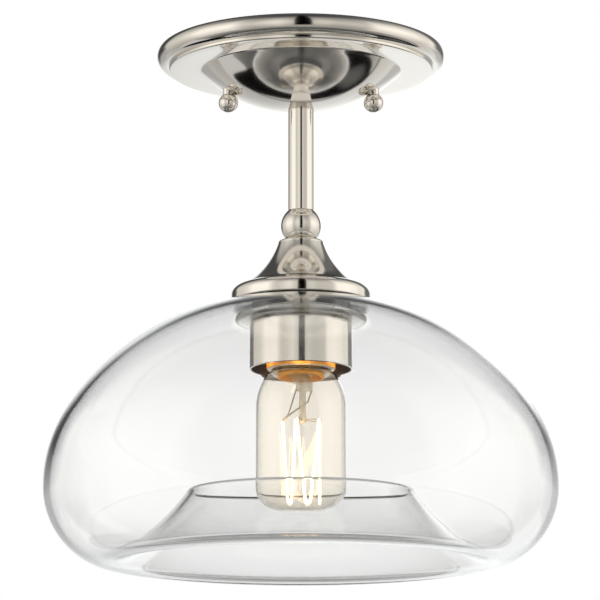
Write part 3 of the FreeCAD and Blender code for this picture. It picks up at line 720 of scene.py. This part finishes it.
def add_ramp(tree, source, stops):
    """A colour ramp of faintly tinted levels, with a mask in its alpha, at those places."""
    node = tree.nodes.new("ShaderNodeValToRGB")
    elements = node.color_ramp.elements
    elements.remove(elements[1])
    for i, (place, level, mask) in enumerate(stops):
        element = elements[0] if i == 0 else elements.new(place)
        element.position = place
        tint = WARM if WARM_FROM < place < WARM_TO or mask < 1.0 else COOL
        element.color = (*(level * part for part in tint), mask)
    tree.links.new(source, node.inputs["Fac"])
    return node.outputs


def reflected_only(name, level, once=False):
    """A plain glow seen after one reflection or more, or after one alone, as far as the mesh's marks say."""
    made = bpy.data.materials.new(name)
    made.use_nodes = True
    tree = made.node_tree
    nodes, links = tree.nodes, tree.links
    nodes.remove(nodes["Principled BSDF"])
    glow = nodes.new("ShaderNodeEmission")
    glow.name = "Glow"
    glow.inputs["Color"].default_value = (level, level, level, 1)
    unseen = nodes.new("ShaderNodeBsdfTransparent")
    depth = nodes.new("ShaderNodeLightPath").outputs["Glossy Depth"]
    reflected = math_node(tree, "COMPARE", depth, 1.0, 0.4) if once else math_node(tree, "GREATER_THAN", depth, 0.5)
    fade = nodes.new("ShaderNodeAttribute")
    fade.attribute_name = "fade"
    mix = nodes.new("ShaderNodeMixShader")
    links.new(math_node(tree, "MULTIPLY", reflected, fade.outputs["Fac"]), mix.inputs["Fac"])
    links.new(unseen.outputs["BSDF"], mix.inputs[1])
    links.new(glow.outputs["Emission"], mix.inputs[2])
    links.new(mix.outputs["Shader"], nodes["Material Output"].inputs["Surface"])
    return made


def wall_material():
    """The levels round the wall, scaled or replaced by the levels from floor to ceiling."""
    made = reflected_only("studio_wall", 1.0)
    tree = made.node_tree
    nodes, links = tree.nodes, tree.links
    place = nodes.new("ShaderNodeTexCoord").outputs["Object"]
    turn = nodes.new("ShaderNodeMapping")
    turn.inputs["Rotation"].default_value = (0.0, 0.0, math.radians(90))
    links.new(place, turn.inputs["Vector"])
    around = nodes.new("ShaderNodeTexGradient")
    around.gradient_type = "RADIAL"
    links.new(turn.outputs["Vector"], around.inputs["Vector"])
    round_stops = [(0.5 + azimuth / 360, level, 1.0) for azimuth, level in WALL_ROUND]
    sideways = add_ramp(tree, around.outputs["Fac"], round_stops)
    split = nodes.new("ShaderNodeSeparateXYZ")
    links.new(place, split.inputs["Vector"])
    height = nodes.new("ShaderNodeMapRange")
    height.inputs["From Min"].default_value = -WALL_RADIUS
    height.inputs["From Max"].default_value = WALL_RADIUS
    links.new(split.outputs["Z"], height.inputs["Value"])
    height_stops = [(0.5 + 0.5 * math.sin(math.radians(rise)), level, own) for rise, level, own in WALL_HEIGHT]
    upward = add_ramp(tree, height.outputs["Result"], height_stops)
    scaled = colour_mix(tree, 1.0, sideways["Color"], upward["Color"], "MULTIPLY")
    chosen = colour_mix(tree, upward["Alpha"], scaled, upward["Color"])
    depth = nodes.new("ShaderNodeLightPath").outputs["Glossy Depth"]
    low = math_node(tree, "LESS_THAN", split.outputs["Z"], LIFT_BELOW * WALL_RADIUS)
    again = math_node(tree, "GREATER_THAN", depth, 1.5)
    lifted = colour_mix(tree, math_node(tree, "MULTIPLY", low, again), chosen, LIFTED)
    links.new(lifted, nodes["Glow"].inputs["Color"])
    return made


def direction(azimuth, elevation):
    a, e = math.radians(azimuth), math.radians(elevation)
    return Vector((math.sin(a) * math.cos(e), -math.cos(a) * math.cos(e), math.sin(e)))


def marked(mesh, fades):
    """Writes how far each point of a stage piece shows."""
    mark = mesh.attributes.new("fade", "FLOAT", "POINT")
    for i, fade in enumerate(fades):
        mark.data[i].value = fade
    return mesh


def dome_mesh(name, radius, around=72, upright=36):
    """A whole shell of that radius."""
    bm = bmesh.new()
    rows = []
    for i in range(upright + 1):
        elevation = -90 + 180 * i / upright
        rows.append([bm.verts.new(direction(360 * k / around, elevation) * radius) for k in range(around)])
    for low, high in zip(rows[:-1], rows[1:]):
        band(bm, low, high)
    bmesh.ops.remove_doubles(bm, verts=bm.verts, dist=1e-5)
    mesh = finished_mesh(name, bm)
    return marked(mesh, [1.0] * len(mesh.vertices))


def on_shell(way, radius):
    """Where a line that goes that way from the middle of the canopy meets a shell about the wall's centre."""
    eye = Vector(CANOPY_MIDDLE) - Vector(WALL_CENTRE)
    b = eye.dot(way)
    return eye + way * (math.sqrt(b * b - eye.dot(eye) + radius * radius) - b)


def strip_mesh(name, azimuths, elevations, radius, soft):
    """The part of a shell between those azimuths and elevations, which fades at its edges where it is soft."""
    steps, columns, fade_steps, fade_columns = 20, 8, 3, 2
    bm = bmesh.new()
    rows, fades = [], []
    for i in range(steps + 1):
        elevation = elevations[0] + (elevations[1] - elevations[0]) * i / steps
        row = []
        for k in range(columns + 1):
            azimuth = azimuths[0] + (azimuths[1] - azimuths[0]) * k / columns
            row.append(bm.verts.new(on_shell(direction(azimuth, elevation), radius)))
            inside = min(i / fade_steps, (steps - i) / fade_steps, k / fade_columns, (columns - k) / fade_columns, 1.0)
            fades.append(inside if soft else 1.0)
        rows.append(row)
    for low, high in zip(rows[:-1], rows[1:]):
        band(bm, low, high, closed=False)
    return marked(finished_mesh(name, bm), fades)


def patch_outline(corners, per_side=4):
    """A closed line through the corners with its bends rounded off."""
    edge = [direction(a, e) for a, e in corners]
    count = len(edge)
    outline = []
    for i in range(count):
        a, b, c, d = (edge[(i + k) % count] for k in (-1, 0, 1, 2))
        slope, bend, twist = c - a, 2 * a - 5 * b + 4 * c - d, 3 * b - a - 3 * c + d
        for k in range(per_side):
            t = k / per_side
            outline.append((0.5 * (2 * b + slope * t + bend * t ** 2 + twist * t ** 3)).normalized())
    return outline


def patch_mesh(name, corners, radius, soft):
    """The part of a shell inside a rounded line, which fades towards that line where it is soft."""
    outline = patch_outline(corners)
    middle = (sum(outline, Vector()) / len(outline)).normalized()
    bm = bmesh.new()
    rings, fades = [], []
    for share, fade in ((0.34, 1.0), (0.67, 0.7), (1.0, 0.0)):
        rings.append([bm.verts.new(on_shell(middle.lerp(way, share).normalized(), radius)) for way in outline])
        fades += [fade if soft else 1.0] * len(outline)
    hub = bm.verts.new(on_shell(middle, radius))
    fades.append(1.0)
    for k in range(len(outline)):
        n = (k + 1) % len(outline)
        bm.faces.new((hub, rings[0][k], rings[0][n]))
        for inner, outer in zip(rings[:-1], rings[1:]):
            bm.faces.new((inner[k], outer[k], outer[n], inner[n]))
    return marked(finished_mesh(name, bm), fades)


def stage_shell(name, mesh, made, through_glass):
    piece = link(name, mesh, made, None)
    piece.location = WALL_CENTRE
    piece.visible_camera = False
    piece.visible_diffuse = False
    piece.visible_shadow = False
    piece.visible_transmission = through_glass


def add_lamp(scene, name, kind, place, watts, tint):
    """A lamp of which only the light is seen."""
    data = bpy.data.lights.new(name, kind)
    data.energy = watts
    data.color = tint
    lamp = bpy.data.objects.new(name, data)
    scene.collection.objects.link(lamp)
    lamp.location = place
    lamp.visible_camera = False
    lamp.visible_glossy = False
    lamp.visible_transmission = False
    return lamp


# ---------------------------------------------------------------- operators

class LIGHT_OT_stage(bpy.types.Operator):
    """Adds the floor, the background, the softboxes and the camera"""
    bl_idname = "ceiling_light.stage"
    bl_label = "Stage"

    def execute(self, context):
        scene = context.scene
        scene.view_settings.view_transform = "Standard"
        camera_data = bpy.data.cameras.new("photo_camera")
        camera = bpy.data.objects.new("photo_camera", camera_data)
        scene.collection.objects.link(camera)
        camera_data.sensor_width = 36.0
        camera_data.lens = CAMERA_LENS
        camera_data.clip_start = 0.05
        camera.location = CAMERA_PLACE
        camera.rotation_euler = (math.radians(90 + CAMERA_RISE), 0.0, 0.0)
        scene.camera = camera
        self.world(scene)
        self.floor()
        self.lamps(scene)
        self.glow(scene)
        self.reflections()
        return {"FINISHED"}

    def world(self, scene):
        """White to the camera, in reflections and through glass, and dimmer as a light."""
        world = bpy.data.worlds.new("studio")
        scene.world = world
        world.use_nodes = True
        tree = world.node_tree
        back = tree.nodes["Background"]
        back.inputs["Color"].default_value = (1.0, 1.0, 1.0, 1)
        rays = tree.nodes.new("ShaderNodeLightPath").outputs
        seen = math_node(tree, "MAXIMUM", rays["Is Camera Ray"], rays["Is Glossy Ray"])
        seen = math_node(tree, "MAXIMUM", seen, rays["Is Transmission Ray"])
        level = tree.nodes.new("ShaderNodeMapRange")
        level.inputs["To Min"].default_value = WORLD_LEVEL
        level.inputs["To Max"].default_value = 1.0
        tree.links.new(seen, level.inputs["Value"])
        tree.links.new(level.outputs["Result"], back.inputs["Strength"])

    def floor(self):
        bm = bmesh.new()
        bmesh.ops.create_grid(bm, x_segments=8, y_segments=8, size=FLOOR_REACH)
        mesh = finished_mesh("studio_floor", bm)
        for vertex in mesh.vertices:
            vertex.co.z = FLOOR_Z
        made = material("pale_floor", (0.86, 0.86, 0.85), 0.0, 0.8)[0]
        piece = link("studio_floor", mesh, made, None)

    def lamps(self, scene):
        for name, place, size, watts in SOFTBOXES:
            lamp = add_lamp(scene, name, "AREA", place, watts, (1.0, 0.97, 0.92))
            lamp.data.shape = "SQUARE"
            lamp.data.size = size
            lamp.rotation_euler = (Vector(WALL_CENTRE) - lamp.location).to_track_quat("-Z", "Y").to_euler()

    def glow(self, scene):
        """The warm light that the lit bulb throws into the socket cup."""
        for name, place in GLOW_LAMPS:
            lamp = add_lamp(scene, name, "POINT", [v * MM for v in place], 0.010, (1.0, 0.62, 0.25))
            lamp.data.shadow_soft_size = 2.0 * MM

    def reflections(self):
        """A round studio wall that only shows in reflections, with strips and patches in front of it."""
        stage_shell("studio_wall", dome_mesh("studio_wall", WALL_RADIUS), wall_material(), True)
        apart = 0.01
        nearer = WALL_RADIUS - 2 * apart
        for name, azimuths, elevations, level, soft in WALL_STRIPS:
            nearer -= apart
            strip = strip_mesh(name, azimuths, elevations, nearer, soft)
            stage_shell(name, strip, reflected_only(name, level), True)
        for name, corners, level, soft in FLOOR_PATCHES:
            nearer -= apart
            patch = patch_mesh(name, corners, nearer, soft)
            stage_shell(name, patch, reflected_only(name, level, True), False)


class LIGHT_OT_canopy(bpy.types.Operator):
    """Makes the canopy and its two ball knobs"""
    bl_idname = "ceiling_light.canopy"
    bl_label = "Canopy"

    def execute(self, context):
        sizes = context.scene.canopy_sizes
        nickel = polished_nickel()
        canopy = lathe("canopy_shell", canopy_profile(sizes), nickel, "fixture", segments=256)
        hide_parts("canopy")
        self.knob_holes(canopy, sizes)
        for side, name, body in ((-1, "left", "left_knob"), (1, "right", "right_knob")):
            knob = lathe("knob_" + name, knob_profile(sizes), nickel, body,
                         around=(side * sizes.knob_offset, 0.0), segments=64)
            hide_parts("ball_knob_" + name)
        return {"FINISHED"}

    def knob_holes(self, canopy, sizes):
        """Cuts the two holes of the studs through the dome."""
        hole_r, depth, middle = (v * MM for v in (3.2, 18.0, -21.0))
        for side in (-1, 1):
            bm = bmesh.new()
            bmesh.ops.create_cone(bm, cap_ends=True, segments=48, radius1=hole_r, radius2=hole_r, depth=depth)
            mesh = finished_mesh("hole_cutter", bm)
            cutter = bpy.data.objects.new("hole_cutter", mesh)
            bpy.context.scene.collection.objects.link(cutter)
            cutter.location = (side * sizes.knob_offset, 0.0, middle)
            bpy.context.view_layer.update()
            cut = canopy.modifiers.new("knob_hole", "BOOLEAN")
            cut.operation = "DIFFERENCE"
            cut.solver = "EXACT"
            cut.object = cutter
            shape = bpy.data.meshes.new_from_object(canopy.evaluated_get(bpy.context.evaluated_depsgraph_get()))
            canopy.modifiers.clear()
            old = canopy.data
            canopy.data = shape
            bpy.data.meshes.remove(old)
            bpy.data.objects.remove(cutter)
            bpy.data.meshes.remove(mesh)


class LIGHT_OT_stem(bpy.types.Operator):
    """Makes the stem, the ball, the bell and the socket cup"""
    bl_idname = "ceiling_light.stem"
    bl_label = "Stem and holder"

    def execute(self, context):
        nickel = polished_nickel()
        inside = shaded_cup_lining()
        for name, profile, node in (
                ("stem_sleeve", stem_profile(), "stem_tube"), ("stem_ball", ball_profile(), "ball_spacer"),
                ("bell", bell_profile(), "bell_holder"), ("cup", cup_profile(), "socket_cup")):
            piece = lathe(name, profile, nickel, "fixture")
            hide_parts(node)
            if name == "cup":
                self.line_cup(piece, inside)
        return {"FINISHED"}

    def line_cup(self, cup, inside):
        """Gives the inner faces of the cup their duller metal, darkened with painted shade."""
        within, below = 24.7 * MM, -138.8 * MM
        cup.data.materials.append(inside)
        for face in cup.data.polygons:
            if math.hypot(face.center.x, face.center.y) < within and face.center.z < below:
                face.material_index = 1


class LIGHT_OT_shade(bpy.types.Operator):
    """Makes the glass shade and its clear ring"""
    bl_idname = "ceiling_light.shade"
    bl_label = "Glass shade"

    def execute(self, context):
        sizes = context.scene.shade_sizes
        glass = clear_glass("shade_clear_glass", (0.996, 0.997, 0.994), 9.0, 0.02)
        shade = lathe("shade", shade_profile(sizes), glass, "fixture", segments=256)
        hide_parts("glass_shade")
        soft = clear_glass("clear_ring_vinyl", (0.90, 0.91, 0.89), 90.0, 0.05, 0.12)
        ring = lathe("clear_ring", clear_ring_profile(), soft, "fixture")
        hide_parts("clear_gasket")
        repaint("gasket_top", mottled("dark_rubber", (0.075, 0.070, 0.064), 0.6, 300.0, 0.3, 0.2))
        return {"FINISHED"}


class LIGHT_OT_hardware(bpy.types.Operator):
    """Gives the hidden hardware and the wires their finishes"""
    bl_idname = "ceiling_light.hardware"
    bl_label = "Hardware"

    def execute(self, context):
        steel = plated_steel()
        for node in ("mounting_strap", "canopy_studs", "stud_locknuts", "ground_washer", "canopy_lock_washer",
                     "canopy_nut", "threaded_pipe", "bell_nut"):
            repaint(node, steel)
        repaint("ground_screw", mottled("green_paint", (0.04, 0.30, 0.09), 0.35, 200.0, 0.2, 0.1))
        repaint("lead_wire_live", mottled("black_insulation", (0.02, 0.02, 0.02), 0.45, 400.0, 0.3, 0.1))
        repaint("lead_wire_neutral", mottled("white_insulation", (0.80, 0.80, 0.78), 0.45, 400.0, 0.08, 0.1))
        return {"FINISHED"}


class LIGHT_OT_socket(bpy.types.Operator):
    """Gives the lamp socket its finishes"""
    bl_idname = "ceiling_light.socket"
    bl_label = "Socket"

    def execute(self, context):
        base = tuple(context.scene.finish_colours.ceramic)
        ceramic = mottled("glazed_ceramic", base, 0.22, 160.0, 0.04, 0.08, Coat_Weight=0.3)
        plastic = mottled("white_phenolic", base, 0.32, 240.0, 0.05, 0.1)
        repaint("socket_body", ceramic)
        repaint("socket_cap", ceramic)
        # Painted glow: a thin ribbed sleeve round the socket's mouth shows the lit bulb's amber light as colour.
        inner, outer, top, low = (v * MM for v in (16.62, 16.95, -149.0, -162.3))
        glow_in_socket = ribbed_sleeve("socket_painted_glow", inner, outer, top, low, 72, painted_glow_metal(), "fixture")
        repaint("shade_ring", plastic)
        brass = lamp_brass()
        repaint("screw_shell", brass)
        repaint("centre_contact", brass)
        return {"FINISHED"}


class LIGHT_OT_bulb(bpy.types.Operator):
    """Makes the filament bulb"""
    bl_idname = "ceiling_light.bulb"
    bl_label = "Bulb"

    def execute(self, context):
        sizes = context.scene.bulb_sizes
        glass = clear_glass("bulb_clear_glass", (1.0, 0.967, 0.905), 30.0, 0.004)
        bulb = lathe("bulb_envelope", bulb_profile(sizes), glass, "bulb", segments=128)
        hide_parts("bulb_glass")
        repaint("bulb_stem", clear_glass("stem_glass", (0.97, 0.95, 0.84), 90.0, 0.1))
        repaint("bulb_base", lamp_brass())
        repaint("bulb_tip", mottled("solder", (0.55, 0.55, 0.53), 0.35, 300.0, 0.2, 0.2, metal=1.0))
        repaint("bulb_insulator", mottled("dark_vitrite", (0.03, 0.03, 0.04), 0.15, 200.0, 0.3, 0.1))
        wire = mottled("nickel_wire", (0.16, 0.15, 0.13), 0.35, 500.0, 0.2, 0.1, metal=1.0)
        repaint("bulb_lead_wires", wire)
        repaint("bulb_supports", wire)
        inner, outer, top, low, coil_pitch = (v * MM for v in (10.95, 11.3, -161.0, -166.3, 0.5))
        coil = coiled(filament_route(), sizes.coil, coil_pitch)
        # Painted glow: a thin ribbed sleeve in the bulb's neck shows the lit bulb's amber light as colour.
        sleeve = ribbed_sleeve("neck_painted_glow", inner, outer, top, low, 60, painted_glow_metal(), "bulb")
        filament = tube_along("filament_coil", coil, sizes.filament, glowing_wire(), "bulb")
        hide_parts("bulb_filament")
        return {"FINISHED"}


class LIGHT_PT_panel(bpy.types.Panel):
    """Buttons for each piece of the ceiling light"""
    bl_label = "Ceiling Light"
    bl_idname = "LIGHT_PT_panel"
    bl_space_type = "VIEW_3D"
    bl_region_type = "UI"
    bl_category = "Ceiling Light"

    def draw(self, context):
        column = self.layout.column(align=True)
        for operator in OPERATORS:
            column.operator(operator.bl_idname)
        for group in (context.scene.canopy_sizes, context.scene.shade_sizes, context.scene.bulb_sizes,
                      context.scene.finish_colours):
            box = self.layout.box()
            for label in group.__annotations__:
                box.prop(group, label)


GROUPS = (CanopySizes, ShadeSizes, BulbSizes, FinishColours)
OPERATORS = (LIGHT_OT_stage, LIGHT_OT_canopy, LIGHT_OT_stem, LIGHT_OT_shade, LIGHT_OT_hardware,
             LIGHT_OT_socket, LIGHT_OT_bulb)


def register():
    for item in GROUPS + OPERATORS + (LIGHT_PT_panel,):
        bpy.utils.register_class(item)
    bpy.types.Scene.canopy_sizes = PointerProperty(type=CanopySizes)
    bpy.types.Scene.shade_sizes = PointerProperty(type=ShadeSizes)
    bpy.types.Scene.bulb_sizes = PointerProperty(type=BulbSizes)
    bpy.types.Scene.finish_colours = PointerProperty(type=FinishColours)


def unregister():
    for label in ("canopy_sizes", "shade_sizes", "bulb_sizes", "finish_colours"):
        delattr(bpy.types.Scene, label)
    for item in reversed(GROUPS + OPERATORS + (LIGHT_PT_panel,)):
        bpy.utils.unregister_class(item)


def main():
    register()
    bpy.ops.ceiling_light.stage()
    bpy.ops.ceiling_light.canopy()
    bpy.ops.ceiling_light.stem()
    bpy.ops.ceiling_light.shade()
    bpy.ops.ceiling_light.hardware()
    bpy.ops.ceiling_light.socket()
    bpy.ops.ceiling_light.bulb()


if __name__ == "__main__":
    main()
